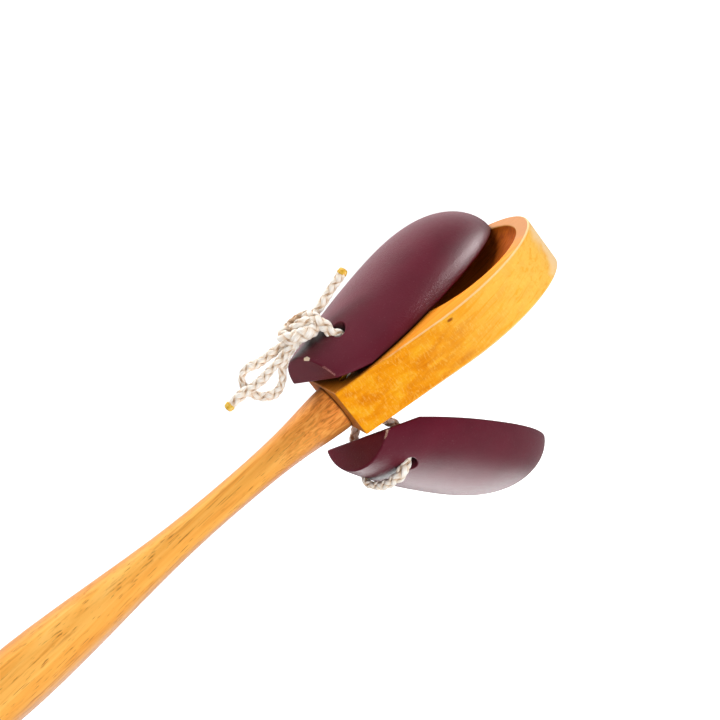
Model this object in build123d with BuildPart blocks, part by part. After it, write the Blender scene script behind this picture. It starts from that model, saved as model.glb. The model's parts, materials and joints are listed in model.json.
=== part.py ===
# Handle castanets: a turned handle is glued into a flat wooden paddle, and one castanet shell is
# tied loosely against each face of the paddle. A single braided cord runs through both shells and
# the paddle, lies as a stitch across the lower shell, and ends in a half bow on the upper shell.
#
# The origin is the middle of the hand grip, on the handle's axis. +X runs along the handle to the
# paddle's tip and +Z is the upper shell's side. All sizes are in millimetres, angles in degrees.

from build123d import *

import os
from math import acos, atan2, cos, degrees, hypot, pi, radians, sin, tan

# Handle
GRIP_TO_SHOULDER = 95.0
GRIP_TO_BUTT = 39.0
NECK_RADIUS = 6.1
WAIST_RADIUS = 4.0
GRIP_RADIUS = 7.8
BUTT_RADIUS = 6.4
TENON_RADIUS = 3.5
TENON_LENGTH = 16.0
GLUE_GAP = 0.05
NECK_CHAMFER = 0.3

# Handle radii behind the shoulder, as (distance from the shoulder, radius)
NECK_TO_GRIP = [(0.0, NECK_RADIUS), (13.0, 4.75), (30.0, WAIST_RADIUS), (51.0, 4.4), (68.0, 5.7)]
NECK_SLOPE = 0.05
BUTT_SLOPE = 0.12

# Paddle, with x measured from its straight heel end
PADDLE_THICKNESS = 13.0
PADDLE_LENGTH = 66.1
PADDLE_HEEL_HALF_WIDTH = 12.7
PADDLE_BULB_X = 38.2
PADDLE_HALF_WIDTH = 23.6
PADDLE_EDGE_RADIUS = 0.5
RECESS_X = 44.3
RECESS_RADIUS = 18.0
RECESS_DEPTH = 4.5
RECESS_WALL_ANGLE = 65.0
RECESS_SHOULDER_RADIUS = 12.0
RECESS_SHOULDER_DEPTH = 3.4
RECESS_EDGE_RADIUS = 0.3

# Castanet shell, with x measured from the line where its heel bevel meets the mating face
SHELL_TIP_X = 55.8
SHELL_HEEL_X = -7.85
SHELL_BULB_X = 20.4
SHELL_HALF_WIDTH = 18.2
SHELL_HEEL_HALF_WIDTH = 11.0
SHELL_TIP_FULLNESS = 2.4
SHELL_CROWN_X = 29.8
SHELL_CROWN_HEIGHT = 14.0
SHELL_HEEL_HEIGHT = 10.3
SHELL_HEEL_LEAN = 0.6
DOME_FALL_POWER = 2.5
DOME_RISE_POWER = 1.4
SHELL_SECTIONS = 12
SHELL_EDGE_RADIUS = 0.5
BEVEL_ANGLE = 18.5
HOLLOW_LENGTH = 40.0
HOLLOW_WIDTH = 25.0
HOLLOW_DEPTH = 9.0
HOLLOW_X = 25.0

# How the shells stand: both rock on the paddle's heel and turn about the middle of the cord
CLOSED_GAP = 0.05
ROCK_BACK = 6.63
ROCK_LIFT = 0.19
UPPER_YAW = 18.5
UPPER_OPENING = 0.0
UPPER_CORD_X = 5.8
UPPER_CORD_Y = -1.0
LOWER_YAW = 36.8
LOWER_OPENING = 44.2
LOWER_CORD_X = 5.0
LOWER_CORD_Y = 0.6

# Cord: strands through the three boards, a stitch, a knot and a half bow
CORD_RADIUS = 1.2
CORD_HOLE_RADIUS = 1.8
CORD_HOLE_HALF_SPACING = 7.5
CORD_HOLE_X = 5.4
CORD_ENTRY_X = -1.2
STRAND_GAP = 0.03
STRAND_START = 1.1
STRAND_END = 10.2
LINK_REACH = 0.8
LINK_GAP = 0.4
HOLE_MOUTH_RADIUS = 0.3
STITCH_X = -0.5
STITCH_SIDE_X = 1.0
STITCH_SIDE_ANGLE = 24.0
STITCH_LIFT = 1.7
KNOT_LEG_X = 0.8
KNOT_LEG_ANGLE = 28.0
KNOT_LEG_LIFT = 2.1
KNOT_X = -2.3
KNOT_HEIGHT = 14.9
KNOT_CORE_RADIUS = 3.0
KNOT_TURN_RADIUS = 2.4
KNOT_TURN_TILTS = (20, 75)
UPPER_TAIL = [(2.6, -0.3, 1.2), (10.0, -0.3, 2.0), (16.9, 0.0, 4.5)]
BOW_LOOP = [
    (-4.4, 0.6, 0.8),
    (-10.2, 0.4, 0.1),
    (-15.8, 0.2, 1.0),
    (-19.2, 0.4, -2.0),
    (-17.6, 0.6, -6.9),
    (-13.4, 0.3, -7.8),
    (-10.0, -0.2, -5.4),
    (-3.9, -0.6, -2.3),
]
LOWER_TAIL = [(-4.3, -1.0, -1.0), (-12.3, -1.2, -3.0), (-18.8, -2.4, -3.8), (-24.4, -1.2, -3.1)]
SEAL_RADIUS = 1.35
SEAL_LENGTH = 1.8
SEAL_ROUNDING = 0.5

SHOULDER_X = GRIP_TO_SHOULDER
FACE_Z = PADDLE_THICKNESS / 2
BEVEL_HEIGHT = -SHELL_HEEL_X * tan(radians(BEVEL_ANGLE))
ENTRY_HEIGHT = -CORD_ENTRY_X * tan(radians(BEVEL_ANGLE))
SIDES = (-1, 1)
TOP_ANGLE = 90.0
CUT_MARGIN = 1.0


def tangent_angle(x, y, centre_x, x_radius, y_radius):
    """Parameter angle at which the tangent from the point (x, y) touches the ellipse."""
    across = (x - centre_x) / x_radius
    up = y / y_radius
    return atan2(up, across) - acos(1 / hypot(across, up))


def shell_plane(side, yaw, opening, cord_x, cord_y):
    """A shell's own plane: origin on the bevel line, x to the tip, z out of the dome."""
    forward = Vector(cos(radians(yaw)), sin(radians(yaw)), 0)
    outward = Vector(0, 0, side)
    hinge = Vector(SHOULDER_X + cord_x, cord_y, side * (FACE_Z + CLOSED_GAP + ROCK_LIFT))
    hinge = hinge - forward * ROCK_BACK
    turn = radians(opening)
    x_dir = forward * cos(turn) + outward * sin(turn)
    z_dir = outward * cos(turn) - forward * sin(turn)
    origin = hinge + x_dir * (ROCK_BACK - CORD_ENTRY_X) - z_dir * ROCK_LIFT
    return Plane(origin=origin, x_dir=x_dir, z_dir=z_dir)


def side_plane(seat):
    """The upright plane along a shell's middle: sketch x to the tip, sketch y out of the dome."""
    return Plane(origin=seat.origin, x_dir=seat.x_dir, z_dir=-seat.y_dir)


def half_width(x):
    """Half the width of the mating face: straight sides that run into an oval bulb."""
    bulb_length = SHELL_TIP_X - SHELL_BULB_X
    angle = tangent_angle(
        SHELL_HEEL_X, SHELL_HEEL_HALF_WIDTH, SHELL_BULB_X, bulb_length, SHELL_HALF_WIDTH
    )
    touch_x = SHELL_BULB_X + bulb_length * cos(angle)
    touch_y = SHELL_HALF_WIDTH * sin(angle)
    if x < touch_x:
        share = (x - SHELL_HEEL_X) / (touch_x - SHELL_HEEL_X)
        return SHELL_HEEL_HALF_WIDTH + (touch_y - SHELL_HEEL_HALF_WIDTH) * share
    power = 2.0 if x < SHELL_BULB_X else SHELL_TIP_FULLNESS
    share = abs(x - SHELL_BULB_X) / bulb_length
    return SHELL_HALF_WIDTH * (1 - share**power) ** (1 / power)


def dome_height(x):
    """Height of the dome over the mating face: a slow rise from the heel, a round fall at the tip."""
    if x > SHELL_CROWN_X:
        share = (x - SHELL_CROWN_X) / (SHELL_TIP_X - SHELL_CROWN_X)
        return SHELL_CROWN_HEIGHT * (1 - share**DOME_FALL_POWER) ** 0.5
    share = (SHELL_CROWN_X - x) / (SHELL_CROWN_X - SHELL_HEEL_X)
    rise = SHELL_CROWN_HEIGHT - SHELL_HEEL_HEIGHT
    return SHELL_HEEL_HEIGHT + rise * (1 - share**DOME_RISE_POWER)


def dome_section(seat, x):
    """Half an ellipse standing on the mating face at x."""
    stand = Plane(origin=seat.from_local_coords((x, 0, 0)), x_dir=seat.y_dir, z_dir=seat.x_dir)
    with BuildSketch(stand) as section:
        with BuildLine():
            arch = EllipticalCenterArc((0, 0), half_width(x), dome_height(x), arc_size=180)
            Line(arch @ 1, arch @ 0)
        make_face()
    return section.sketch


def cord_hole_plane(seat, side):
    """Mouth of a shell's cord hole in the bevel, with z along the hole into the dome."""
    lean = radians(BEVEL_ANGLE)
    mouth = seat.from_local_coords((CORD_ENTRY_X, side * CORD_HOLE_HALF_SPACING, ENTRY_HEIGHT))
    into = seat.x_dir * sin(lean) + seat.z_dir * cos(lean)
    return Plane(origin=mouth, x_dir=seat.y_dir, z_dir=into)


def over_dome(seat, x, angle, lift):
    """A point above the dome's section at x, at an angle round it from the mating face."""
    y = (half_width(x) + lift) * cos(radians(angle))
    z = (dome_height(x) + lift) * sin(radians(angle))
    return seat.from_local_coords((x, y, z))


def castanet_shell(seat):
    """A solid dome with a bevelled heel, a hollow in its mating face and two cord holes."""
    lean_x = SHELL_HEEL_X - SHELL_HEEL_LEAN
    reach = SHELL_TIP_X - lean_x
    stations = [lean_x + reach * sin(pi / 2 * i / SHELL_SECTIONS) for i in range(SHELL_SECTIONS)]
    sections = [dome_section(seat, x) for x in stations]
    tip = Vertex(*seat.from_local_coords((SHELL_TIP_X, 0, 0)))

    # The hollow is a spheroid whose centre lies outside the mating face.
    across = HOLLOW_WIDTH / 2
    hollow_radius = (across**2 + HOLLOW_DEPTH**2) / (2 * HOLLOW_DEPTH)
    hollow_drop = hollow_radius - HOLLOW_DEPTH
    hollow_half_length = HOLLOW_LENGTH / 2 * hollow_radius / across
    hollow_axis = Axis(seat.from_local_coords((0, 0, -hollow_drop)), seat.x_dir)

    with BuildPart() as shell:
        loft(sections=[*sections, tip])

        # The bevel lifts the heel off the paddle, and the heel face leans back a little.
        with BuildSketch(side_plane(seat)):
            with BuildLine():
                Polyline(
                    (0, 0),
                    (SHELL_HEEL_X, BEVEL_HEIGHT),
                    (lean_x, SHELL_CROWN_HEIGHT),
                    (lean_x - CUT_MARGIN, SHELL_CROWN_HEIGHT),
                    (lean_x - CUT_MARGIN, -CUT_MARGIN),
                    (0, -CUT_MARGIN),
                    close=True,
                )
            make_face()
        extrude(amount=SHELL_HALF_WIDTH, both=True, mode=Mode.SUBTRACT)
        fillet(shell.edges(), SHELL_EDGE_RADIUS)

        with BuildSketch(side_plane(seat)):
            with BuildLine():
                arch = EllipticalCenterArc(
                    (HOLLOW_X, -hollow_drop), hollow_half_length, hollow_radius, arc_size=180
                )
                Line(arch @ 1, arch @ 0)
            make_face()
        revolve(axis=hollow_axis, mode=Mode.SUBTRACT)
        fillet(shell.edges(Select.LAST), SHELL_EDGE_RADIUS)

        for side in SIDES:
            hole = cord_hole_plane(seat, side)
            with BuildSketch(hole):
                Circle(CORD_HOLE_RADIUS)
            extrude(amount=SHELL_CROWN_HEIGHT, both=True, mode=Mode.SUBTRACT)
            along_hole = Axis(hole.origin, hole.z_dir)
            fillet(shell.edges(Select.LAST).sort_by(along_hole)[-1], HOLE_MOUTH_RADIUS)
    return shell.part


def seal(path, label):
    """A dipped cord end: a short round cap a little wider than the cord."""
    with BuildPart() as cap:
        with BuildSketch(Plane(origin=path @ 1, z_dir=path % 1)):
            Circle(SEAL_RADIUS)
        extrude(amount=SEAL_LENGTH)
        fillet(cap.edges(), SEAL_ROUNDING)
    cap.part.label = label
    return cap.part


# Handle: a slim waist swells to the grip, and a tenon goes into the paddle.
with BuildPart() as handle:
    with BuildSketch(Plane.XZ):
        with BuildLine():
            butt = CenterArc((BUTT_RADIUS - GRIP_TO_BUTT, 0), BUTT_RADIUS, 90, 90)
            swell = Spline(
                *[(SHOULDER_X - distance, radius) for distance, radius in NECK_TO_GRIP],
                (0, GRIP_RADIUS),
                butt @ 0,
                tangents=((-1, -NECK_SLOPE), (-1, -BUTT_SLOPE)),
            )
            Polyline(
                butt @ 1,
                (SHOULDER_X + TENON_LENGTH, 0),
                (SHOULDER_X + TENON_LENGTH, TENON_RADIUS),
                (SHOULDER_X, TENON_RADIUS),
                swell @ 0,
            )
        make_face()
    revolve(axis=Axis.X)
    neck_rim = handle.edges().filter_by_position(Axis.X, SHOULDER_X, SHOULDER_X).sort_by(SortBy.LENGTH)[-1]
    chamfer(neck_rim, NECK_CHAMFER)
handle.part.label = "handle"

# Paddle: flared sides run into an oval end, with a round scoop in each face.
touch = tangent_angle(
    0, PADDLE_HEEL_HALF_WIDTH, PADDLE_BULB_X, PADDLE_LENGTH - PADDLE_BULB_X, PADDLE_HALF_WIDTH
)
with BuildPart() as paddle:
    with BuildSketch(Plane.XY.offset(-FACE_Z)):
        with BuildLine():
            tip_arc = EllipticalCenterArc(
                (SHOULDER_X + PADDLE_BULB_X, 0),
                PADDLE_LENGTH - PADDLE_BULB_X,
                PADDLE_HALF_WIDTH,
                start_angle=-degrees(touch),
                arc_size=2 * degrees(touch),
            )
            Polyline(
                tip_arc @ 1,
                (SHOULDER_X, PADDLE_HEEL_HALF_WIDTH),
                (SHOULDER_X, -PADDLE_HEEL_HALF_WIDTH),
                tip_arc @ 0,
            )
        make_face()
    extrude(amount=PADDLE_THICKNESS)
    fillet(paddle.edges(), PADDLE_EDGE_RADIUS)

    wall = radians(RECESS_WALL_ANGLE)
    for side in SIDES:
        scoop_x = SHOULDER_X + RECESS_X
        with BuildSketch(Plane.XZ):
            with BuildLine():
                bowl = Spline(
                    (scoop_x, side * (FACE_Z - RECESS_DEPTH)),
                    (scoop_x + RECESS_SHOULDER_RADIUS, side * (FACE_Z - RECESS_SHOULDER_DEPTH)),
                    (scoop_x + RECESS_RADIUS, side * FACE_Z),
                    tangents=((1, 0), (cos(wall), side * sin(wall))),
                )
                Polyline(bowl @ 1, (scoop_x, side * FACE_Z), bowl @ 0)
            make_face()
        revolve(axis=Axis((scoop_x, 0, 0), (0, 0, 1)), mode=Mode.SUBTRACT)
        fillet(paddle.edges(Select.LAST).sort_by(SortBy.LENGTH)[-1], RECESS_EDGE_RADIUS)

    with BuildSketch(Plane.YZ.offset(SHOULDER_X)):
        Circle(TENON_RADIUS + GLUE_GAP)
    extrude(amount=TENON_LENGTH + GLUE_GAP, mode=Mode.SUBTRACT)

    with BuildSketch(Plane.XY.offset(-FACE_Z)):
        with Locations(*[(SHOULDER_X + CORD_HOLE_X, side * CORD_HOLE_HALF_SPACING) for side in SIDES]):
            Circle(CORD_HOLE_RADIUS)
    extrude(amount=PADDLE_THICKNESS, mode=Mode.SUBTRACT)
paddle.part.label = "paddle"

# Shells: the same shape twice, the lower one turned over and hanging open.
upper_seat = shell_plane(1, UPPER_YAW, UPPER_OPENING, UPPER_CORD_X, UPPER_CORD_Y)
upper_shell = castanet_shell(upper_seat)
upper_shell.label = "upper_shell"
lower_seat = shell_plane(-1, LOWER_YAW, LOWER_OPENING, LOWER_CORD_X, LOWER_CORD_Y)
lower_shell = castanet_shell(lower_seat)
lower_shell.label = "lower_shell"

# Cord strands inside the paddle's two holes.
with BuildPart() as cord_in_paddle:
    with BuildSketch(Plane.XY.offset(-FACE_Z)):
        with Locations(*[(SHOULDER_X + CORD_HOLE_X, side * CORD_HOLE_HALF_SPACING) for side in SIDES]):
            Circle(CORD_RADIUS)
    extrude(amount=PADDLE_THICKNESS)
cord_in_paddle.part.label = "cord_in_paddle"

# Short strands between the paddle and the upper shell, which sits flat on the paddle.
with BuildPart() as upper_cord_link:
    mouths = [cord_hole_plane(upper_seat, side).origin for side in SIDES]
    with BuildSketch(Plane.XY.offset(FACE_Z + STRAND_GAP)):
        with Locations(*[(mouth.X, mouth.Y) for mouth in mouths]):
            Circle(CORD_RADIUS)
    extrude(amount=LINK_REACH)
upper_cord_link.part.label = "upper_cord_link"

# Longer slanting strands from the paddle down to the lower shell, which hangs open.
with BuildPart() as lower_cord_link:
    for side in SIDES:
        mouth_plane = cord_hole_plane(lower_seat, -side)
        start = Vector(
            SHOULDER_X + CORD_HOLE_X, side * CORD_HOLE_HALF_SPACING, -FACE_Z - STRAND_GAP
        )
        run = mouth_plane.from_local_coords((0, 0, -LINK_GAP)) - start
        with BuildSketch(Plane(origin=start, x_dir=(1, 0, 0), z_dir=(0, 0, -1))):
            Circle(CORD_RADIUS)
        extrude(amount=run.length, dir=run)
lower_cord_link.part.label = "lower_cord_link"

# The stitch goes in at one hole of the lower shell, over the heel of its dome and out at the other.
left_hole = cord_hole_plane(lower_seat, 1)
right_hole = cord_hole_plane(lower_seat, -1)
with BuildPart() as lower_cord_stitch:
    with BuildLine() as stitch_path:
        rise = Line(
            left_hole.from_local_coords((0, 0, STRAND_START)),
            left_hole.from_local_coords((0, 0, STRAND_END)),
        )
        fall = Line(
            right_hole.from_local_coords((0, 0, STRAND_END)),
            right_hole.from_local_coords((0, 0, STRAND_START)),
        )
        Spline(
            rise @ 1,
            over_dome(lower_seat, STITCH_SIDE_X, TOP_ANGLE - STITCH_SIDE_ANGLE, STITCH_LIFT),
            over_dome(lower_seat, STITCH_X, TOP_ANGLE, STITCH_LIFT),
            over_dome(lower_seat, STITCH_SIDE_X, TOP_ANGLE + STITCH_SIDE_ANGLE, STITCH_LIFT),
            fall @ 0,
            tangents=(rise % 1, fall % 0),
        )
    with BuildSketch(Plane(origin=rise @ 0, z_dir=rise % 0)):
        Circle(CORD_RADIUS)
    sweep()
lower_cord_stitch.part.label = "lower_cord_stitch"

# Knot on the upper shell's heel, with its two legs in the cord holes and the upper tail.
knot_centre = upper_seat.from_local_coords((KNOT_X, 0, KNOT_HEIGHT))
knot_plane = Plane(origin=knot_centre, x_dir=(1, 0, 0), z_dir=(0, 0, 1))
with BuildPart() as cord_knot:
    with Locations(knot_plane):
        Sphere(KNOT_CORE_RADIUS)
        for tilt in KNOT_TURN_TILTS:
            Torus(KNOT_TURN_RADIUS, CORD_RADIUS, rotation=(0, tilt, 0))
    for side in SIDES:
        hole = cord_hole_plane(upper_seat, side)
        with BuildLine():
            rise = Line(
                hole.from_local_coords((0, 0, STRAND_START)),
                hole.from_local_coords((0, 0, STRAND_END)),
            )
            Spline(
                rise @ 1,
                over_dome(upper_seat, KNOT_LEG_X, TOP_ANGLE - KNOT_LEG_ANGLE * side, KNOT_LEG_LIFT),
                knot_centre,
                tangents=(rise % 1, upper_seat.y_dir * -side),
            )
        with BuildSketch(Plane(origin=rise @ 0, z_dir=rise % 0)):
            Circle(CORD_RADIUS)
        sweep()
    with BuildLine() as tail_path:
        Spline(*[knot_plane.from_local_coords(p) for p in UPPER_TAIL])
    with BuildSketch(Plane(origin=tail_path.line @ 0, z_dir=tail_path.line % 0)):
        Circle(CORD_RADIUS)
    sweep()
cord_knot.part.label = "cord_knot"

# The half bow: one loop and the lower tail, which crosses in front of the loop.
with BuildPart() as bow:
    for points in (BOW_LOOP, LOWER_TAIL):
        with BuildLine() as bow_path:
            Spline(*[knot_plane.from_local_coords(p) for p in points])
        with BuildSketch(Plane(origin=bow_path.line @ 0, z_dir=bow_path.line % 0)):
            Circle(CORD_RADIUS)
        sweep()
bow.part.label = "bow"

# Both tails end in a seal.
upper_tail_seal = seal(tail_path.line, "upper_tail_seal")
lower_tail_seal = seal(bow_path.line, "lower_tail_seal")

os.makedirs("parts", exist_ok=True)
for node in (
    handle.part,
    paddle.part,
    upper_shell,
    lower_shell,
    cord_in_paddle.part,
    upper_cord_link.part,
    lower_cord_link.part,
    lower_cord_stitch.part,
    cord_knot.part,
    bow.part,
    upper_tail_seal,
    lower_tail_seal,
):
    export_step(node, f"parts/{node.label}.step")
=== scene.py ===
"""Looks of the handle castanets: woods, worn paint, and one length of real braid with its knot and half bow.

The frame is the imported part, in metres: +X runs along the handle to the paddle's tip, +Z out of the face that
carries the upper shell. Local sizes are in millimetres and are turned into metres by MM.
"""

import json
import math

import bpy
import numpy as np
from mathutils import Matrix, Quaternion, Vector
from mathutils.bvhtree import BVHTree


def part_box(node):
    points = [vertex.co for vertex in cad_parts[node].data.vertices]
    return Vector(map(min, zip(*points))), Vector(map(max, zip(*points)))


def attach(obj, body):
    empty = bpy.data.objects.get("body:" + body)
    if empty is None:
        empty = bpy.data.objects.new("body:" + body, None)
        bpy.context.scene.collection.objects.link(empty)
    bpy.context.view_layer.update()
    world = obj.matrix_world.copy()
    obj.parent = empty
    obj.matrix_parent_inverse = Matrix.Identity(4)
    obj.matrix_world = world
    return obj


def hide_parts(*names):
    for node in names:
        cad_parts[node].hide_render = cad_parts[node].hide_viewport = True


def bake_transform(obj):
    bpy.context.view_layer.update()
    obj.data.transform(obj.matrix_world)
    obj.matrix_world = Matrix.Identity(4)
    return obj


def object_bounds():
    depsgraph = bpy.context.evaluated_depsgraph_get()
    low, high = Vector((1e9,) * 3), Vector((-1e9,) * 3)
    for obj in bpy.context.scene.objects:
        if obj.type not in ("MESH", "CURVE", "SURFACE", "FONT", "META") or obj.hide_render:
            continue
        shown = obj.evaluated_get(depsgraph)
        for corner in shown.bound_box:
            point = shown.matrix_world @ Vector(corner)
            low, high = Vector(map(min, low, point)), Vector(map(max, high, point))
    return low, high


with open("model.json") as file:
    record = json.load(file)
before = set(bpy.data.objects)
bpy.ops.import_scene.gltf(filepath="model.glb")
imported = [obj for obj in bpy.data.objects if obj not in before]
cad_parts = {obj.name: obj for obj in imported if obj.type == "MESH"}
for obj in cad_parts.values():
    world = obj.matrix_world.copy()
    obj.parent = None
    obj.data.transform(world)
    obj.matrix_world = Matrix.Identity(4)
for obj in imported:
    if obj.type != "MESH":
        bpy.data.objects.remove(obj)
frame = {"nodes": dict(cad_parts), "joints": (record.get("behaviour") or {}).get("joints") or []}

CAD_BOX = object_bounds()
MM = 0.001
NODES = frame["nodes"]
JOINTS = {joint["name"]: joint for joint in frame["joints"]}

# Cord. The braid's and the yarns' sizes, and the core's, are shares of the cord's radius.
CORD_RADIUS = 1.27 * MM
YARNS_EACH_WAY = 3
BRAID_PITCH = 9.6 * MM
BRAID_STEP = 0.15 * MM
CURVE_SAMPLES = 60
BRAID_MIDDLE = 0.60
BRAID_SWING = 0.17
YARN_THICKNESS = 0.25
YARN_WIDTH = 0.47
YARN_SIDES = 10
CORE_SHARE = 0.52
CORE_SIDES = 12
SLACK_TWIST = 0.30
SLACK_SWELL = 0.05
TWIST_WAVES, SWELL_WAVES = 0.61, 1.37

# Where the cord meets the shells, in a shell's own axes
HOLE_X = -1.2 * MM
HOLE_LEAN = math.radians(18.5)
HOLE_LIFT = -HOLE_X * math.tan(HOLE_LEAN)
ROCK_BACK = 6.63 * MM
ROCK_LIFT = 0.19 * MM

# Where the cord's pieces meet. This far off the paddle's faces, the turning strands end and the links to the
# shells begin. This far up a shell's holes, its link ends, the next piece begins, and that comes out.
UPPER_TURN_REACH, LOWER_TURN_REACH = 0.2 * MM, 1.8 * MM
UPPER_LINK_END, LEG_START, LEG_OUT = 5.0 * MM, 4.9 * MM, 8.4 * MM
LOWER_LINK_END, STITCH_START, STITCH_OUT = 4.0 * MM, 3.9 * MM, 8.0 * MM

# Depths in the holes at which a strand starts to turn across the gap and has done so.
UPPER_TURN_FROM, UPPER_TURN_TO, UPPER_BEND_FROM = 1.2 * MM, 1.0 * MM, 2.5 * MM
LOWER_TURN_FROM, LOWER_TURN_TO = 0.6 * MM, 0.3 * MM

# Centre-lines of the knot and the half bow, in millimetres from the knot's middle. A fourth number is how
# full the cord is there: above 1 where it is bunched, below 1 where it is twisted thin.
NEAR_LEG_AND_TURN = [
    (4.7, -5.3, -4.7, 1.15),
    (4.5, -4.4, -3.0, 1.25),
    (4.2, -3.4, -1.4, 1.25),
    (4.1, -1.9, 0.0, 1.15),
    (3.6, 0.0, 1.1),
    (1.9, 1.5, 1.4),
    (-0.3, 2.2, 1.5),
    (-2.7, 1.5, 1.4, 1.1),
    (-4.4, 0.0, 0.9, 1.3),
    (-3.6, -2.0, 0.1, 1.4),
    (-1.6, -3.3, -0.6, 1.45),
    (0.5, -3.7, -1.4, 1.4),
    (2.7, -2.6, -1.8, 1.2),
    (2.9, -1.9, -0.8, 1.1),
    (1.8, -1.8, 0.4, 1.15),
    (0.0, -1.5, 1.0, 1.15),
    (-1.6, -0.5, 0.9, 1.05),
]
FAR_LEG = [(2.6, 6.0, -3.2), (1.2, 4.4, -1.9), (-0.3, 2.4, -0.8), (-1.4, 0.6, -0.6)]
UPPER_TAIL = [
    (1.3, -0.5, 0.4),
    (3.4, 0.5, 0.1),
    (5.3, 1.2, 0.0),
    (7.4, 1.0, 0.5),
    (9.9, 0.8, 1.4),
    (12.8, 0.5, 2.4),
    (15.0, 0.2, 3.1),
    (16.1, 0.1, 3.5),
]
BOW_LOOP = [
    (0.9, -0.4, -0.4),
    (-2.2, -0.2, -0.5, 1.05),
    (-4.5, 0.4, -0.9, 1.05),
    (-6.3, 1.0, -1.0),
    (-8.3, 1.7, -0.9),
    (-10.8, 2.2, -0.9),
    (-13.3, 2.7, -0.7),
    (-15.2, 3.3, -0.2, 0.95),
    (-17.1, 3.6, -0.5, 0.8),
    (-18.4, 3.6, -1.6, 0.75),
    (-19.0, 3.2, -3.2, 0.85),
    (-18.7, 2.6, -5.1, 0.95),
    (-17.9, 1.8, -6.9),
    (-16.5, 1.1, -8.0),
    (-14.7, 0.3, -8.6),
    (-12.8, -0.2, -8.2, 0.9),
    (-11.1, -0.3, -7.1, 0.85),
    (-9.7, -0.2, -5.4, 0.85),
    (-8.4, -0.3, -4.2, 0.95),
    (-6.7, -0.5, -3.2),
    (-4.9, -0.7, -2.5),
    (-3.2, -1.0, -2.1),
    (-1.0, -1.2, -1.4),
    (0.9, -1.1, -1.0),
]
LOWER_TAIL = [
    (0.3, -1.6, -0.5),
    (-2.2, -1.8, -1.1),
    (-4.5, -1.7, -1.6),
    (-6.9, -1.6, -2.2, 0.95),
    (-9.3, -1.3, -2.8, 0.9),
    (-12.1, -0.8, -3.2, 0.95),
    (-14.5, -0.5, -3.7),
    (-16.7, -0.1, -3.8),
    (-18.7, 0.3, -3.8, 1.05),
    (-20.4, 0.6, -3.6, 1.1),
    (-22.0, 1.0, -3.7, 1.05),
    (-24.4, 1.2, -4.0, 0.95),
]

# The stitch over the lower shell's back: angles round the shell, how far off its skin the cord lies there,
# and how full it is
STITCH_ANGLES = (62, 76, 90, 104, 118)
STITCH_LIFTS = (1.35 * MM, 1.9 * MM, 2.1 * MM, 1.8 * MM, 1.15 * MM)
STITCH_FULLNESS = (1.2, 1.15, 1.05, 0.95, 0.85)
STITCH_X = 0.2 * MM
CLEAR_OF_SHELL = 60 * MM

# How full the cord is where it squeezes between the paddle and the closed upper shell
SQUEEZED = 0.45

# Melted ends of the cord
SEAL_LENGTH = 1.9 * MM
SEAL_OVERLAP = 0.35 * MM
SEAL_RADIUS = 1.34 * MM
SEAL_FLATNESS = 0.86
SEAL_GIRTH = 7.0
SEAL_RINGS, SEAL_SIDES = 18, 24
SEAL_LOBES, LOBE_HEIGHT, BUMP_HEIGHT = 8, 0.055, 0.02

# Camera
CAMERA_PLACE = Vector((46.95, -394.51, 122.75)) * MM
CAMERA_AZIMUTH = math.radians(-8.62)
CAMERA_ELEVATION = math.radians(16.44)
CAMERA_ROLL = math.radians(38.0)
CAMERA_LENS = 84.985
CAMERA_CLIP = (0.01, 50)

# Stage
ROOM_LIGHT = 0.25
ROOM_MIRRORED = 0.08
BACKDROP_LIGHT = 1.3
FLOOR_DROP = 350 * MM
FLOOR_REACH = 8.0
FLOOR_GLOW = 0.75


# ---------------------------------------------------------------- node trees


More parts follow.
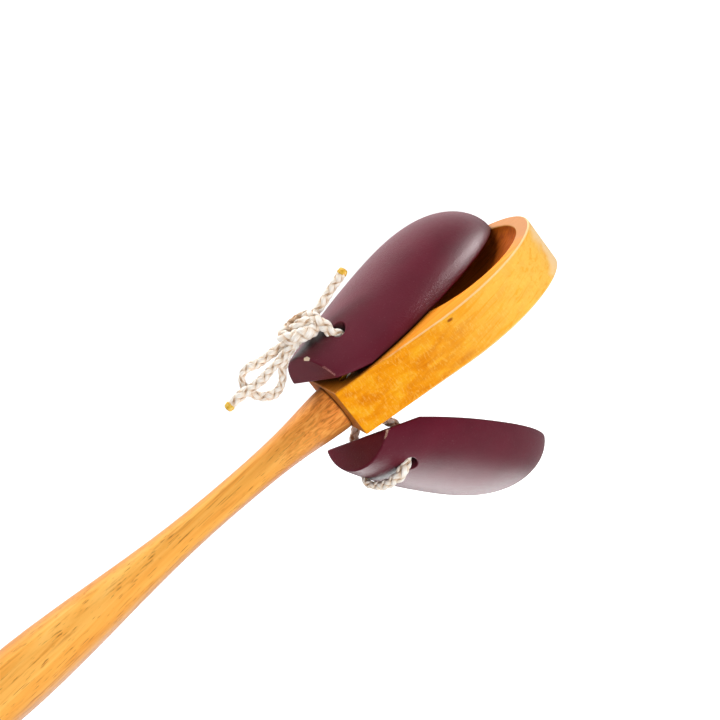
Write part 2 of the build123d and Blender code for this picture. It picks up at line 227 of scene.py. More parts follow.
class NodeTree:
    """A node tree, with short calls for the nodes it is made of."""

    def __init__(self, tree):
        self.tree = tree

    def add(self, kind, settings=None, **inputs):
        node = self.tree.nodes.new("ShaderNode" + kind)
        for key, value in (settings or {}).items():
            setattr(node, key, value)
        for key, value in inputs.items():
            self.connect(node.inputs[key.replace("_", " ")], value)
        return node

    def connect(self, socket, value):
        if isinstance(value, bpy.types.NodeSocket):
            self.tree.links.new(value, socket)
        elif isinstance(value, (tuple, list)) and len(value) == 3 and socket.type == "RGBA":
            socket.default_value = (*value, 1.0)
        else:
            socket.default_value = value

    def place(self):
        """Object coordinates in millimetres."""
        coordinates = self.add("TexCoord").outputs["Object"]
        return self.scaled(coordinates, (1 / MM, 1 / MM, 1 / MM))

    def scaled(self, vector, scale, turn=(0, 0, 0)):
        mapping = self.add("Mapping", {"vector_type": "POINT"}, Vector=vector, Scale=scale, Rotation=turn)
        return mapping.outputs["Vector"]

    def noise(self, vector, scale, detail=3.0, roughness=0.5, warp=0.0):
        node = self.add(
            "TexNoise", Vector=vector, Scale=scale, Detail=detail, Roughness=roughness, Distortion=warp
        )
        return node.outputs["Fac"]

    def ramp(self, factor, *stops):
        node = self.add("ValToRGB", Fac=factor)
        points = node.color_ramp.elements
        while len(points) < len(stops):
            points.new(1.0)
        for point, (position, colour) in zip(points, stops):
            point.position = position
            point.color = (*colour, 1.0) if isinstance(colour, tuple) else (colour, colour, colour, 1.0)
        return node.outputs["Color"]

    def mix(self, factor, a, b):
        node = self.add("Mix", {"data_type": "RGBA"})
        self.connect(node.inputs[0], factor)
        self.connect(node.inputs[6], a)
        self.connect(node.inputs[7], b)
        return node.outputs[2]

    def tint(self, colour, mask, amount, other):
        """The colour, taken part of the way to another one where the mask is 1."""
        return self.mix(self.math("MULTIPLY", mask, amount), colour, other)

    def math(self, operation, a, b=0.0, clamp=False):
        node = self.add("Math", {"operation": operation, "use_clamp": clamp})
        self.connect(node.inputs[0], a)
        self.connect(node.inputs[1], b)
        return node.outputs[0]

    def opposite(self, value):
        return self.math("SUBTRACT", 1.0, value)

    def ragged(self, value, noise, reach):
        """The value pushed up and down by noise, so that what is drawn from it has a ragged border."""
        return self.math("ADD", value, self.math("MULTIPLY", self.math("SUBTRACT", noise, 0.5), reach))

    def between(self, value, low, high):
        """0 below low, 1 above high, smooth between them."""
        node = self.add("MapRange", {"interpolation_type": "SMOOTHSTEP"}, Value=value)
        node.inputs["From Min"].default_value = low
        node.inputs["From Max"].default_value = high
        return node.outputs["Result"]

    def parts(self, vector):
        node = self.add("SeparateXYZ", Vector=vector)
        return [node.outputs[axis] for axis in "XYZ"]

    def bump(self, height, distance, strength=1.0):
        return self.add("Bump", Height=height, Distance=distance, Strength=strength).outputs["Normal"]

    def edges(self, radius):
        """0 on flat faces and more towards edges, from how far a rounded normal leans off the true one."""
        rounded = self.add("Bevel", {"samples": 4}, Radius=radius).outputs["Normal"]
        true = self.add("NewGeometry").outputs["Normal"]
        lean = self.add("VectorMath", {"operation": "DOT_PRODUCT"})
        self.connect(lean.inputs[0], rounded)
        self.connect(lean.inputs[1], true)
        return self.math("SUBTRACT", 1.0, lean.outputs["Value"], clamp=True)

    def spot(self, place, centre, size):
        """0 at a point and 1 on an ellipsoid round it, both given in millimetres."""
        offset = self.add("VectorMath", {"operation": "SUBTRACT"})
        self.connect(offset.inputs[0], place)
        self.connect(offset.inputs[1], centre)
        shrunk = self.scaled(offset.outputs["Vector"], tuple(1 / s for s in size))
        length = self.add("VectorMath", {"operation": "LENGTH"})
        self.connect(length.inputs[0], shrunk)
        return length.outputs["Value"]


class Shader(NodeTree):
    """The node tree of a new material, ending in its surface node."""

    def __init__(self, name):
        self.material = bpy.data.materials.new(name)
        self.material.use_nodes = True
        super().__init__(self.material.node_tree)
        self.surface = next(n for n in self.tree.nodes if n.type == "BSDF_PRINCIPLED")

    def finish(self, **inputs):
        for key, value in inputs.items():
            self.connect(self.surface.inputs[key.replace("_", " ")], value)
        return self.material


def paddle_wood():
    s = Shader("paddle_wood")
    place = s.place()
    x, _, z = s.parts(place)
    normal = s.parts(s.add("TexCoord").outputs["Normal"])
    flatness = s.math("ABSOLUTE", normal[2])
    on_face = s.between(flatness, 0.5, 0.9)

    # Sides: bands along the board, short light marks across them, and darker streaks a little aslant.
    bands = s.noise(s.scaled(place, (0.03, 0.5, 0.42)), 1.0, 4.0, 0.55, 0.5)
    fine = s.noise(s.scaled(place, (0.16, 2.6, 2.6)), 1.0, 5.0, 0.65)
    marks = s.noise(s.scaled(place, (2.1, 0.8, 0.7)), 1.0, 4.0, 0.65, 0.8)
    cloud = s.noise(s.scaled(place, (0.16, 0.14, 0.20)), 1.0, 3.0, 0.6, 0.6)
    side = s.ramp(bands, (0.30, (0.74, 0.20, 0.001)), (0.5, (0.89, 0.31, 0.003)), (0.70, (0.95, 0.44, 0.015)))
    along = s.ragged(x, cloud, 22.0)
    side = s.tint(side, s.between(along, *SIDE_PALES), 0.80, (0.96, 0.57, 0.11))
    side = s.tint(side, s.between(marks, 0.48, 0.68), 0.45, (0.98, 0.60, 0.12))
    side = s.tint(side, s.between(fine, 0.50, 0.74), 0.30, (0.74, 0.21, 0.004))
    aslant = s.scaled(place, (1.0, 1.0, 1.0), (0.0, math.radians(9.0), 0.0))
    streaks = s.noise(s.scaled(aslant, (0.06, 0.5, 0.8)), 1.0, 5.0, 0.65, 1.0)
    side = s.tint(side, s.between(streaks, 0.50, 0.64), 0.55, (0.88, 0.33, 0.008))
    # The heel's end face is darkened by the way it faces: painted shade over its darker end grain.
    heel_end_grain_and_shade = s.between(s.math("MULTIPLY", normal[0], -1.0), 0.5, 0.9)
    side = s.tint(side, heel_end_grain_and_shade, 0.8, (0.42, 0.13, 0.03))

    # Faces: grain along the board, and a browner rim round the tip.
    grain = s.noise(s.scaled(place, (0.025, 0.85, 0.85)), 1.0, 5.0, 0.6, 0.6)
    face = s.ramp(grain, (0.3, (0.76, 0.21, 0.010)), (0.5, (0.88, 0.285, 0.020)), (0.7, (0.93, 0.36, 0.045)))
    face = s.tint(face, s.between(fine, 0.50, 0.70), 0.45, (0.66, 0.17, 0.008))
    near_tip = s.ragged(x, cloud, 8.0)
    face = s.tint(face, s.between(near_tip, *RIM_BROWNS), 0.9, (0.46, 0.215, 0.095))
    colour = s.mix(on_face, side, face)

    # Towards the tip the sides turn pale, most of all towards the lower face.
    low_on_tip = s.math("SUBTRACT", near_tip, s.math("MULTIPLY", z, 0.25))
    tip_paling = s.math("MULTIPLY", s.between(low_on_tip, *TIP_PALING), s.opposite(on_face))
    colour = s.tint(colour, tip_paling, 0.85, (0.95, 0.68, 0.38))

    # The scoops are darker than the faces.
    depth = s.math("SUBTRACT", PADDLE_TOP / MM, s.math("ABSOLUTE", z))
    inside = s.opposite(s.between(s.spot(place, SCOOP_CENTRE, SCOOP_COLUMN), 1.0, 1.04))
    in_scoop = s.math("MULTIPLY", s.between(depth, 0.08, 0.4), inside)
    scoop = s.ramp(grain, (0.35, (0.22, 0.030, 0.001)), (0.65, (0.40, 0.075, 0.003)))
    colour = s.tint(colour, in_scoop, 0.92, scoop)

    knot = s.ragged(s.spot(place, PADDLE_KNOT, PADDLE_KNOT_SIZE), fine, 0.6)
    in_knot = s.math("SUBTRACT", 0.9, s.between(knot, 0.35, 1.0), clamp=True)
    colour = s.mix(in_knot, colour, (0.26, 0.05, 0.006))

    # The rounded edges are rubbed pale, more and more towards the tip.
    rounded = s.math("MULTIPLY", s.between(flatness, 0.10, 0.35), s.opposite(s.between(flatness, 0.88, 0.98)))
    toward_tip = s.math("MULTIPLY", rounded, s.between(along, *EDGE_RUBBED))
    rubbed = s.math("MULTIPLY", toward_tip, s.math("SUBTRACT", 0.6, inside, clamp=True))
    colour = s.mix(rubbed, colour, (0.99, 0.76, 0.42))

    # Painted shade: creases and the gaps under the shells are darkened where ambient occlusion finds little
    # open sky.
    open_sky = s.add("AmbientOcclusion", {"samples": 6}, Distance=2.5 * MM).outputs["AO"]
    colour = s.mix(s.between(open_sky, 0.20, 0.75), (0.06, 0.012, 0.002), colour)

    relief = s.math("ADD", s.math("MULTIPLY", fine, 0.6), s.math("MULTIPLY", marks, 0.6))
    return s.finish(
        Base_Color=colour,
        Roughness=s.ramp(fine, (0.3, 0.42), (0.7, 0.56)),
        Specular_IOR_Level=0.07,
        Normal=s.bump(relief, 0.05 * MM, 0.4),
    )


def handle_wood():
    s = Shader("handle_wood")
    place = s.place()
    x = s.parts(place)[0]
    aslant = s.scaled(place, (1.0, 1.0, 1.0), (0.0, math.radians(2.5), math.radians(-1.5)))

    growth = s.noise(s.scaled(aslant, (0.010, 0.32, 0.32)), 1.0, 4.0, 0.55, 0.9)
    streaks = s.noise(s.scaled(aslant, (0.035, 1.3, 1.3)), 1.0, 5.0, 0.6)
    flecks = s.noise(s.scaled(aslant, (0.17, 3.6, 3.6)), 1.0, 2.0, 0.5)
    colour = s.ramp(
        growth,
        (0.28, (0.74, 0.27, 0.035)),
        (0.44, (0.90, 0.40, 0.070)),
        (0.60, (0.97, 0.49, 0.105)),
        (0.78, (0.98, 0.57, 0.16)),
    )
    colour = s.tint(colour, s.between(streaks, 0.50, 0.72), 0.6, (0.56, 0.18, 0.022))
    colour = s.tint(colour, s.between(flecks, 0.62, 0.70), 0.75, (0.30, 0.08, 0.010))

    # Red-brown end of the neck, where the growth rings come round.
    ring_place = s.scaled(place, (0.18, 0.9, 0.9), (0.0, math.radians(14), math.radians(9)))
    rings = s.noise(ring_place, 1.0, 3.0, 0.5, 1.6)
    near_neck = s.between(s.math("ADD", x, s.math("MULTIPLY", rings, 24.0)), *NECK_REDDENS)
    neck = s.ramp(rings, (0.35, (0.36, 0.07, 0.012)), (0.5, (0.78, 0.24, 0.04)), (0.68, (0.94, 0.43, 0.10)))
    colour = s.tint(colour, near_neck, 0.85, neck)
    # A dark line round the handle at its joint with the paddle: the joint's gap, with painted shade in it.
    colour = s.tint(colour, s.between(x, *JOINT_SHADE_LINE), 0.8, (0.06, 0.012, 0.004))

    # Painted shade: seen edge on, towards its outline, the handle is darkened.
    grazing_shade = s.add("LayerWeight", Blend=0.5).outputs["Facing"]
    colour = s.tint(colour, s.between(grazing_shade, 0.15, 0.80), 0.85, (0.42, 0.16, 0.04))

    relief = s.math("SUBTRACT", streaks, s.math("MULTIPLY", s.between(flecks, 0.58, 0.68), 0.8))
    return s.finish(
        Base_Color=colour,
        Roughness=s.ramp(streaks, (0.3, 0.34), (0.7, 0.5)),
        Specular_IOR_Level=0.16,
        Normal=s.bump(relief, 0.06 * MM, 0.4),
    )


def shell_paint():
    s = Shader("shell_paint")
    place = s.place()
    cloudy = s.noise(place, 0.09, 3.0, 0.5)
    peel = s.noise(place, 2.6, 3.0, 0.6)
    specks = s.noise(place, 2.8, 1.0, 0.5)
    colour = s.ramp(cloudy, (0.3, (0.092, 0.0040, 0.0150)), (0.7, (0.118, 0.0060, 0.0200)))
    colour = s.tint(colour, s.between(specks, 0.68, 0.78), 0.5, (0.20, 0.07, 0.08))

    # Paint rubbed thin along the edges, in places down to the primer, and chipped in one.
    rub = s.noise(place, 0.45, 4.0, 0.65)
    edge = s.between(s.edges(0.7 * MM), 0.04, 0.26)
    worn = s.math("MULTIPLY", edge, s.between(rub, 0.50, 0.64))
    colour = s.tint(colour, worn, 0.6, (0.34, 0.13, 0.12))
    torn = s.noise(place, 1.3, 3.0, 0.6)
    on_edge = s.between(s.edges(0.4 * MM), 0.004, 0.018)
    for centre, size, primer in RUBBED_EDGES:
        distance = s.ragged(s.spot(place, centre, size), torn, 1.2)
        near = s.opposite(s.between(distance, 0.80, 1.0))
        colour = s.mix(s.math("MULTIPLY", near, on_edge), colour, primer)
    for centre, size, primer in PAINT_CHIPS:
        distance = s.ragged(s.spot(place, centre, size), torn, 1.2)
        colour = s.mix(s.opposite(s.between(distance, 0.80, 1.0)), colour, primer)

    # Painted shade: the cord holes and the creases under the cord are darkened where ambient occlusion finds
    # little open sky.
    open_sky = s.add("AmbientOcclusion", {"samples": 6}, Distance=3.0 * MM).outputs["AO"]
    colour = s.mix(s.between(open_sky, 0.30, 0.85), (0.004, 0.001, 0.001), colour)
    return s.finish(
        Base_Color=colour,
        Roughness=s.ramp(peel, (0.3, 0.34), (0.7, 0.46)),
        Specular_IOR_Level=0.36,
        Normal=s.bump(peel, 0.10 * MM, 0.8),
    )


def cord_fabric():
    s = Shader("cord")
    place = s.place()
    height = s.add("Attribute", {"attribute_name": "braid_height"}).outputs["Fac"]
    along = s.add("UVMap", {"uv_map": "yarn"}).outputs["UV"]
    fibre = s.noise(s.scaled(along, (0.8, 7.0, 1.0)), 1.0, 4.0, 0.65, 0.3)
    blotch = s.noise(place, 0.55, 3.0, 0.6)
    # Painted shade: by braid height, the yarns go from tan where they dive under the others and on the core to
    # near white on top.
    colour = s.ramp(
        height,
        (0.0, (0.54, 0.36, 0.23)),
        (0.38, (0.72, 0.54, 0.39)),
        (0.66, (0.91, 0.81, 0.69)),
        (1.0, (0.99, 0.95, 0.89)),
    )
    colour = s.tint(colour, s.between(fibre, 0.42, 0.72), 0.55, (0.62, 0.44, 0.30))
    colour = s.tint(colour, s.between(blotch, 0.52, 0.75), 0.30, (0.72, 0.55, 0.40))
    # A tan stain on the knot's top turn, with painted shade there as well.
    stain_and_shade = s.ragged(s.spot(place, CORD_STAIN_AND_SHADE, CORD_STAIN_AND_SHADE_SIZE), blotch, 1.0)
    stain_and_shade_mask = s.math("SUBTRACT", 0.85, s.between(stain_and_shade, 0.3, 1.0), clamp=True)
    colour = s.mix(stain_and_shade_mask, colour, (0.52, 0.31, 0.16))
    return s.finish(
        Base_Color=colour,
        Roughness=0.75,
        Specular_IOR_Level=0.25,
        Sheen_Weight=0.30,
        Sheen_Roughness=0.4,
        Normal=s.bump(fibre, 0.12 * MM, 0.8),
    )


def seal_amber():
    s = Shader("cord_seal")
    place = s.place()
    cloud = s.noise(place, 1.6, 4.0, 0.6, 0.5)
    colour = s.ramp(cloud, (0.3, (0.62, 0.30, 0.02)), (0.52, (0.85, 0.52, 0.06)), (0.75, (0.93, 0.78, 0.42)))
    return s.finish(
        Base_Color=colour,
        Roughness=s.ramp(cloud, (0.3, 0.22), (0.7, 0.40)),
        Subsurface_Weight=0.25,
        Subsurface_Radius=(1.0 * MM, 0.6 * MM, 0.2 * MM),
        Normal=s.bump(cloud, 0.12 * MM, 0.5),
    )


# ---------------------------------------------------------------- braid


def smooth_path(points):
    """Rows of (x, y, z, fullness), evenly spaced along a centripetal Catmull-Rom curve through the points."""
    p = np.array([(*point, 1.0) if len(point) == 3 else tuple(point) for point in points])
    p = np.vstack([2 * p[0] - p[1], p, 2 * p[-1] - p[-2]])
    p[[0, -1], 3] = p[[1, -2], 3]
    knots = np.concatenate([[0], np.cumsum(np.sqrt(np.linalg.norm(np.diff(p[:, :3], axis=0), axis=1)))])
    dense = []
    for i in range(1, len(p) - 2):
        t0, t1, t2, t3 = knots[i - 1 : i + 3]
        t = np.linspace(t1, t2, CURVE_SAMPLES, endpoint=False)[:, None]
        a1 = (t1 - t) / (t1 - t0) * p[i - 1] + (t - t0) / (t1 - t0) * p[i]
        a2 = (t2 - t) / (t2 - t1) * p[i] + (t - t1) / (t2 - t1) * p[i + 1]
        a3 = (t3 - t) / (t3 - t2) * p[i + 1] + (t - t2) / (t3 - t2) * p[i + 2]
        b1 = (t2 - t) / (t2 - t0) * a1 + (t - t0) / (t2 - t0) * a2
        b2 = (t3 - t) / (t3 - t1) * a2 + (t - t1) / (t3 - t1) * a3
        dense.append((t2 - t) / (t2 - t1) * b1 + (t - t1) / (t2 - t1) * b2)
    dense = np.vstack([*dense, p[-2]])
    run = distance_run(dense[:, :3])
    count = max(2, round(run[-1] / BRAID_STEP) + 1)
    even = np.linspace(0, run[-1], count)
    return np.column_stack([np.interp(even, run, dense[:, k]) for k in range(4)])


def distance_run(path):
    return np.concatenate([[0], np.cumsum(np.linalg.norm(np.diff(path, axis=0), axis=1))])


def travelling_axes(path):
    """Two normals that don't twist along the path."""
    tangents = np.gradient(path, axis=0)
    tangents /= np.linalg.norm(tangents, axis=1)[:, None]
    start = np.cross(tangents[0], (0.3, 0.9, 0.1))
    normals = [start / np.linalg.norm(start)]
    for tangent in tangents[1:]:
        n = normals[-1] - tangent * (normals[-1] @ tangent)
        normals.append(n / np.linalg.norm(n))
    normals = np.array(normals)
    return normals, np.cross(tangents, normals)


class MeshData:
    """Vertices, faces, yarn coordinates and braid heights of one piece of cord."""

    def __init__(self):
        self.vertices, self.faces, self.uv, self.height = [], [], [], []

    def tube(self, rings, along, girth, heights):
        """A closed tube through rings of points, with flat ends."""
        count, sides = rings.shape[:2]
        first = len(self.vertices)
        self.vertices.extend(rings.reshape(-1, 3))
        self.height.extend(np.repeat(heights, sides))
        for i in range(count - 1):
            for k in range(sides):
                a = first + i * sides + k
                b = first + i * sides + (k + 1) % sides
                self.faces.append((a, b, b + sides, a + sides))
                u0, u1 = along[i], along[i + 1]
                v0, v1 = girth * k / sides, girth * (k + 1) / sides
                self.uv.extend([(u0, v0), (u0, v1), (u1, v1), (u1, v0)])
        for ring, order in ((0, -1), (count - 1, 1)):
            self.faces.append(tuple(first + ring * sides + k for k in range(sides))[::order])
            self.uv.extend([(along[ring], girth * k / sides) for k in range(sides)])

    def to_object(self, name, material):
        mesh = bpy.data.meshes.new(name)
        mesh.from_pydata([tuple(v) for v in self.vertices], [], self.faces)
        layer = mesh.uv_layers.new(name="yarn")
        layer.data.foreach_set("uv", np.array(self.uv, np.float32).ravel())
        attribute = mesh.attributes.new("braid_height", "FLOAT", "POINT")
        attribute.data.foreach_set("value", np.array(self.height, np.float32))
        mesh.polygons.foreach_set("use_smooth", [len(f) == 4 for f in self.faces])
        mesh.materials.append(material)
        mesh.update()
        piece = bpy.data.objects.new(name, mesh)
        bpy.context.scene.collection.objects.link(piece)
        return piece


def ellipse_rings(centre, radial, wide, thickness, width, sides):
    turn = 2 * np.pi * np.arange(sides) / sides
    out = thickness[:, None, None] * np.cos(turn)[None, :, None] * radial[:, None, :]
    across = width[:, None, None] * np.sin(turn)[None, :, None] * wide[:, None, :]
    return centre[:, None, :] + out + across


def add_braid(data, path, phase):
    """Yarns that wind both ways round the path and cross over and under each other, on a core that takes the
    painted shade of the braid's gaps.
    """
    line = path[:, :3]
    normals, binormals = travelling_axes(line)
    run = distance_run(line)
    wave = 2 * np.pi * (run / BRAID_PITCH + phase)
    size = CORD_RADIUS * path[:, 3] * (1 + SLACK_SWELL * np.sin(SWELL_WAVES * wave))
    turned = wave + SLACK_TWIST * np.sin(TWIST_WAVES * wave)
    for way in (1, -1):
        swing = way * np.cos(YARNS_EACH_WAY * turned)
        for k in range(YARNS_EACH_WAY):
            angle = way * turned + 2 * np.pi * k / YARNS_EACH_WAY
            radial = normals * np.cos(angle)[:, None] + binormals * np.sin(angle)[:, None]
            centre = line + radial * (size * (BRAID_MIDDLE + BRAID_SWING * swing))[:, None]
            heading = np.gradient(centre, axis=0)
            heading /= np.linalg.norm(heading, axis=1)[:, None]
            wide = np.cross(heading, radial)
            wide /= np.linalg.norm(wide, axis=1)[:, None]
            out = np.cross(wide, heading)
            rings = ellipse_rings(centre, out, wide, size * YARN_THICKNESS, size * YARN_WIDTH, YARN_SIDES)
            data.tube(rings, run / MM, 4 * YARN_WIDTH * CORD_RADIUS / MM, 0.5 + 0.5 * swing)
    core = ellipse_rings(line, normals, binormals, size * CORE_SHARE, size * CORE_SHARE, CORE_SIDES)
    data.tube(core, run / MM, 4 * CORE_SHARE * CORD_RADIUS / MM, np.zeros(len(path)))


def cord_piece(name, paths, nodes, body=None):
    """One piece of cord made of the given centre-lines, riding on a body, or left where it is in the frame
    without one.
    """
    data = MeshData()
    for index, path in enumerate(paths):
        add_braid(data, path, phase=index / YARNS_EACH_WAY)
    piece = data.to_object(name, CORD)
    if body is not None:
        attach(piece, body)
    else:
        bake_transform(piece)
    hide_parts(*nodes)


# ---------------------------------------------------------------- places worked out from the frame


class Seat:
    """A shell's own axes: origin on its bevel line, forward to the tip, up out of the dome."""

    def __init__(self, hinge, side, opening):
        joint = JOINTS[hinge]
        axis = Vector(joint["axis"])
        level = Vector((0, 0, 1)).cross(axis)
        outward = Vector((0, 0, side))
        self.forward = level * math.cos(opening) + outward * math.sin(opening)
        self.up = outward * math.cos(opening) - level * math.sin(opening)
        self.across = self.up.cross(self.forward)
        self.origin = Vector(joint["pos_m"]) + self.forward * (ROCK_BACK - HOLE_X) - self.up * ROCK_LIFT

    def point(self, x, y, z):
        return self.origin + self.forward * x + self.across * y + self.up * z

    def hole(self, side, distance):
        """A point on the middle line of a cord hole, at a distance in from its mouth."""
        x = HOLE_X + distance * math.sin(HOLE_LEAN)
        return self.point(x, side * HOLE_SPACING, HOLE_LIFT + distance * math.cos(HOLE_LEAN))


def over_surface(tree, seat, x, angle, lift):
    """A point that stands off the shell's skin, at an angle round it from the mating face."""
    foot = seat.point(x, 0, 0)
    direction = seat.across * math.cos(angle) + seat.up * math.sin(angle)
    hit = tree.ray_cast(foot + direction * CLEAR_OF_SHELL, -direction)[0]
    return hit + direction * lift


def surface_of(node):
    mesh = NODES[node].data
    return BVHTree.FromPolygons([v.co for v in mesh.vertices], [tuple(p.vertices) for p in mesh.polygons])


strand_low, strand_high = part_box("cord_in_paddle")
strand_radius = (strand_high.x - strand_low.x) / 2
PADDLE_TOP = strand_high.z
INSIDE = PADDLE_TOP * 0.5
HOLE_CENTRE_X = (strand_low.x + strand_high.x) / 2
HOLE_SPACING = strand_high.y - strand_radius
KNOT = Vector(JOINTS["bow_swing"]["pos_m"])
UPPER_SEAT = Seat("upper_hinge", 1, 0.0)
LOWER_SEAT = Seat("lower_hinge", -1, math.radians(JOINTS["lower_hinge"]["range_deg"][1]))
SIDES = (-1, 1)

# Where the wood's looks change along X, in millimetres
SHOULDER_X, TIP_X = (corner.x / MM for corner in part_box("paddle"))
NECK_REDDENS = (SHOULDER_X - 19.0, SHOULDER_X + 13.0)
JOINT_SHADE_LINE = (SHOULDER_X - 0.7, SHOULDER_X - 0.1)
SIDE_PALES = (TIP_X - 53.1, TIP_X - 7.1)
EDGE_RUBBED = (TIP_X - 58.1, TIP_X - 37.1)
RIM_BROWNS = (TIP_X - 15.1, TIP_X - 4.1)
TIP_PALING = (TIP_X - 6.5, TIP_X - 2.5)

# Marks on the wood, the paint and the cord: places and sizes in millimetres, and the colour that shows
SCOOP_CENTRE, SCOOP_COLUMN = (SHOULDER_X + 44.3, 0.0, 0.0), (18.4, 18.4, 400.0)
PADDLE_KNOT, PADDLE_KNOT_SIZE = (125.9, -22.8, 5.0), (1.1, 3.0, 0.5)
CORD_STAIN_AND_SHADE, CORD_STAIN_AND_SHADE_SIZE = tuple(KNOT / MM + Vector((0.4, 1.7, 2.3))), (4.0, 2.8, 2.0)
CREAM, PINK, BEIGE = (0.86, 0.70, 0.50), (0.62, 0.29, 0.25), (0.66, 0.44, 0.32)
PAINT_CHIPS = [((95.7, -7.2, 15.9), (0.8, 1.5, 0.5), CREAM)]
RUBBED_EDGES = [((97.5, -12.2, 11.5), (1.6, 2.2, 2.2), PINK), ((98.7, -12.8, -9.1), (1.8, 1.3, 1.3), BEIGE)]

CORD = cord_fabric()
AMBER = seal_amber()


def near_knot(points):
    """Points given in millimetres from the knot's middle, in the frame; a fullness goes with them."""
    return [(*(KNOT + Vector(point[:3]) * MM), *point[3:]) for point in points]


def paddle_hole(side, z):
    """A point on the middle line of a cord hole in the paddle."""
    return (HOLE_CENTRE_X, side * HOLE_SPACING, z)


def cut(path, height):
    """A strand's two parts, cut where it is this far off the paddle's middle plane."""
    split = int(np.searchsorted(np.abs(path[:, 2]), height))
    return path[: split + 1], path[split:]


# ---------------------------------------------------------------- the cord's pieces


def build_strands_in_paddle():
    strands = [smooth_path([paddle_hole(side, -INSIDE), paddle_hole(side, INSIDE)]) for side in SIDES]
    cord_piece("braid_in_paddle", strands, ["cord_in_paddle"], body="paddle")


def build_upper_links():
    """Out of the paddle's holes, squeezed under the closed shell across to its holes, and up these."""
    climbs = [
        [
            paddle_hole(side, INSIDE),
            (*paddle_hole(side, PADDLE_TOP - UPPER_TURN_FROM), SQUEEZED),
            (*UPPER_SEAT.hole(side, UPPER_TURN_TO), SQUEEZED),
            UPPER_SEAT.hole(side, UPPER_LINK_END),
        ]
        for side in SIDES
    ]
    turn_end = PADDLE_TOP + UPPER_TURN_REACH
    turns, links = zip(*(cut(smooth_path(climb), turn_end) for climb in climbs))
    cord_piece("braid_upper_turn", turns, ["upper_cord_link"])
    cord_piece("braid_upper_link", links, ["upper_cord_link"])


def build_knot():
    """Both strands out of the upper shell's holes and into the knot, and the tail that stands up from it."""
    near_leg = [UPPER_SEAT.hole(-1, LEG_START), UPPER_SEAT.hole(-1, LEG_OUT)] + near_knot(NEAR_LEG_AND_TURN)
    far_leg = [UPPER_SEAT.hole(1, LEG_START), UPPER_SEAT.hole(1, LEG_OUT)] + near_knot(FAR_LEG)
    cord_piece("braid_knot", [smooth_path(near_leg), smooth_path(far_leg)], ["cord_knot"], body="upper_shell")
    tail = smooth_path(near_knot(UPPER_TAIL))
    cord_piece("braid_upper_tail", [tail], ["cord_knot"], body="upper_shell")
    add_seal("upper_seal", tail, "upper_tail_seal", "upper_shell", np.random.default_rng(11))


def build_bow():
    """The half bow's loop and its tail, where they come out of the knot."""
    loop = smooth_path(near_knot(BOW_LOOP))
    cord_piece("braid_bow_loop", [loop], ["bow"])
    tail = smooth_path(near_knot(LOWER_TAIL))
    cord_piece("braid_lower_tail", [tail], ["bow"])
    add_seal("lower_seal", tail, "lower_tail_seal", "bow", np.random.default_rng(7))


def build_lower_links():
    """Out of the paddle's holes and down to the holes of the shell that hangs open."""
    drops = [
        [
            paddle_hole(side, -INSIDE),
            paddle_hole(side, -PADDLE_TOP + LOWER_TURN_FROM),
            LOWER_SEAT.hole(-side, LOWER_TURN_TO),
            LOWER_SEAT.hole(-side, LOWER_LINK_END),
        ]
        for side in SIDES
    ]
    turn_end = PADDLE_TOP + LOWER_TURN_REACH
    turns, links = zip(*(cut(smooth_path(drop), turn_end) for drop in drops))
    cord_piece("braid_lower_turn", turns, ["lower_cord_link"])
    cord_piece("braid_lower_link", links, ["lower_cord_link"])


def build_stitch():
    """Out of one hole of the lower shell, over its back and into the other."""
    skin = surface_of("lower_shell")
    over = [
        (*over_surface(skin, LOWER_SEAT, STITCH_X, math.radians(angle), lift), fullness)
        for angle, lift, fullness in zip(STITCH_ANGLES, STITCH_LIFTS, STITCH_FULLNESS)
    ]
    stitch = [
        LOWER_SEAT.hole(1, STITCH_START),
        LOWER_SEAT.hole(1, STITCH_OUT),
        *over,
        LOWER_SEAT.hole(-1, STITCH_OUT),
        LOWER_SEAT.hole(-1, STITCH_START),
    ]
    cord_piece("braid_stitch", [smooth_path(stitch)], ["lower_cord_stitch"], body="lower_shell")


def add_seal(name, tail, node, body, random):
    """A melted cord end: a lobed, tapering blob that grips the last of the braid."""
    end = Vector(tail[-1, :3])
    direction = (end - Vector(tail[-8, :3])).normalized()
    first = direction.orthogonal().normalized()
    second = direction.cross(first)
    shape = np.zeros((SEAL_RINGS, SEAL_SIDES, 3))
    bumps = random.normal(0, BUMP_HEIGHT, (SEAL_RINGS, SEAL_SIDES))
    for i in range(SEAL_RINGS):
        t = i / (SEAL_RINGS - 1)
        opening, taper = 0.25 + 0.75 * min(1.0, t * 5) ** 0.5, 1 - 0.16 * t
        rounding = max(0.06, 1 - t**9) ** 0.5
        for k in range(SEAL_SIDES):
            angle = 2 * math.pi * k / SEAL_SIDES
            lobes = 1 + LOBE_HEIGHT * math.cos(SEAL_LOBES * angle + 1.5 * t) + bumps[i, k]
            radius = SEAL_RADIUS * opening * taper * rounding * lobes
            across = first * math.cos(angle) * radius + second * math.sin(angle) * radius * SEAL_FLATNESS
            shape[i, k] = end + direction * (t * SEAL_LENGTH - SEAL_OVERLAP) + across
    data = MeshData()
    data.tube(shape, np.linspace(0, SEAL_LENGTH / MM, SEAL_RINGS), SEAL_GIRTH, np.ones(SEAL_RINGS))
    piece = data.to_object(name, AMBER)
    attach(piece, body)
    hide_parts(node)


build_strands_in_paddle()
build_upper_links()
build_knot()
build_bow()
build_lower_links()
build_stitch()


# ---------------------------------------------------------------- wood and paint on the CAD nodes


def paint_node(node, material):
    slots = NODES[node].data.materials
    slots.clear()
    slots.append(material)


paint_node("handle", handle_wood())
paint_node("paddle", paddle_wood())
paint = shell_paint()
for shell in ("upper_shell", "lower_shell"):
    paint_node(shell, paint)


# ---------------------------------------------------------------- stage


def camera_back():
    """From the object towards the camera."""
    level = math.cos(CAMERA_ELEVATION)
    across, away = math.sin(CAMERA_AZIMUTH) * level, -math.cos(CAMERA_AZIMUTH) * level
    return Vector((across, away, math.sin(CAMERA_ELEVATION)))


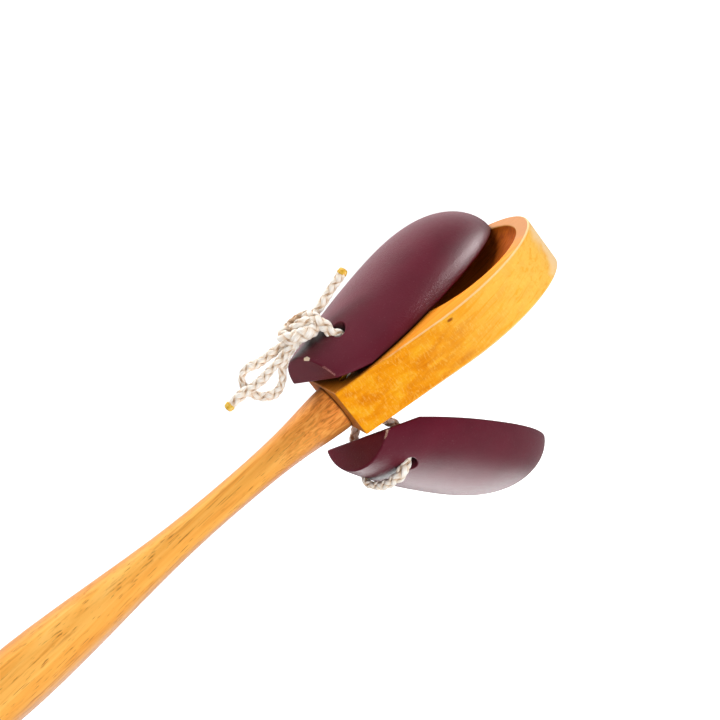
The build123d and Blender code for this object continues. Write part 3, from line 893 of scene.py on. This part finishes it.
def add_floor():
    """A wide pale floor, bright enough to the camera to run into the backdrop without an edge."""
    low, high = CAD_BOX
    middle = (low + high) / 2
    z = low.z - FLOOR_DROP
    corners = [(-1, -1), (1, -1), (1, 1), (-1, 1)]
    mesh = bpy.data.meshes.new("floor")
    mesh.from_pydata(
        [(middle.x + x * FLOOR_REACH, middle.y + y * FLOOR_REACH, z) for x, y in corners], [], [(0, 1, 2, 3)]
    )
    floor = bpy.data.objects.new("floor", mesh)
    bpy.context.scene.collection.objects.link(floor)
    s = Shader("floor")
    seen = s.add("LightPath").outputs["Is Camera Ray"]
    material = s.finish(
        Base_Color=s.mix(seen, (0.40, 0.40, 0.40), (0.85, 0.85, 0.85)),
        Roughness=0.9,
        Specular_IOR_Level=0.1,
        Emission_Color=(1, 1, 1),
        Emission_Strength=s.math("MULTIPLY", seen, FLOOR_GLOW),
    )
    mesh.materials.append(material)


def add_softbox(name, direction, distance, size, power, lights=True, mirrored=True, only=None):
    """A round area light that faces the object's middle. It lights surfaces, is mirrored in them, or both.

    With only, it acts on that node and no other.
    """
    low, high = CAD_BOX
    target = (low + high) / 2
    direction = Vector(direction).normalized()
    data = bpy.data.lights.new(name, "AREA")
    data.shape = "DISK"
    data.size = size
    data.energy = power
    light = bpy.data.objects.new(name, data)
    light.location = target + direction * distance
    light.rotation_mode = "QUATERNION"
    light.rotation_quaternion = direction.to_track_quat("Z", "Y")
    light.visible_camera = False
    light.visible_diffuse = lights
    light.visible_glossy = mirrored
    if only is not None:
        lit = bpy.data.collections.new(name)
        lit.objects.link(NODES[only])
        light.light_linking.receiver_collection = lit
    bpy.context.scene.collection.objects.link(light)


def add_world():
    """White to the camera, and for light a white backdrop behind the object in a dim grey room."""
    world = bpy.data.worlds.new("studio")
    world.use_nodes = True
    bpy.context.scene.world = world
    s = NodeTree(world.node_tree)
    facing = s.add("VectorMath", {"operation": "DOT_PRODUCT"})
    s.connect(facing.inputs[0], s.add("TexCoord").outputs["Generated"])
    s.connect(facing.inputs[1], -camera_back())
    backdrop = s.between(facing.outputs["Value"], 0.0, 0.6)
    rays = s.add("LightPath").outputs
    dimmer = s.math("MULTIPLY", rays["Is Glossy Ray"], ROOM_LIGHT - ROOM_MIRRORED)
    room = s.math("SUBTRACT", ROOM_LIGHT, dimmer)
    light = s.math("MAXIMUM", s.math("MULTIPLY", backdrop, BACKDROP_LIGHT), room)
    strength = s.math("MAXIMUM", light, rays["Is Camera Ray"])
    background = next(n for n in s.tree.nodes if n.type == "BACKGROUND")
    s.connect(background.inputs["Color"], (1, 1, 1))
    s.connect(background.inputs["Strength"], strength)


def add_camera():
    data = bpy.data.cameras.new("camera")
    data.lens = CAMERA_LENS
    data.clip_start, data.clip_end = CAMERA_CLIP
    camera = bpy.data.objects.new("camera", data)
    back = camera_back()
    camera.location = CAMERA_PLACE
    camera.rotation_mode = "QUATERNION"
    camera.rotation_quaternion = Quaternion(back, -CAMERA_ROLL) @ (-back).to_track_quat("-Z", "Y")
    bpy.context.scene.collection.objects.link(camera)
    bpy.context.scene.camera = camera


add_floor()
add_world()
add_softbox("right", (0.95, -0.25, 0.15), distance=0.8, size=0.45, power=2.8, mirrored=False)
add_softbox(
    "tip_glow", (0.96, -0.24, -0.26), distance=0.8, size=0.45, power=50.0, lights=False, only="upper_shell"
)
add_softbox("front", (-0.22, -0.95, -0.12), distance=0.8, size=0.6, power=5.2, mirrored=False)
add_softbox(
    "front_sheen", (0.1, -0.5, 0.86), distance=0.9, size=1.0, power=2.2, lights=False, only="upper_shell"
)
add_softbox("back_top", (0.15, 0.6, 0.8), distance=0.9, size=0.8, power=15.0, mirrored=False)
add_softbox("under_back", (-0.10, 0.42, -0.90), distance=0.33, size=0.30, power=0.8, lights=False)
add_camera()
bpy.context.scene.view_settings.view_transform = "Standard"
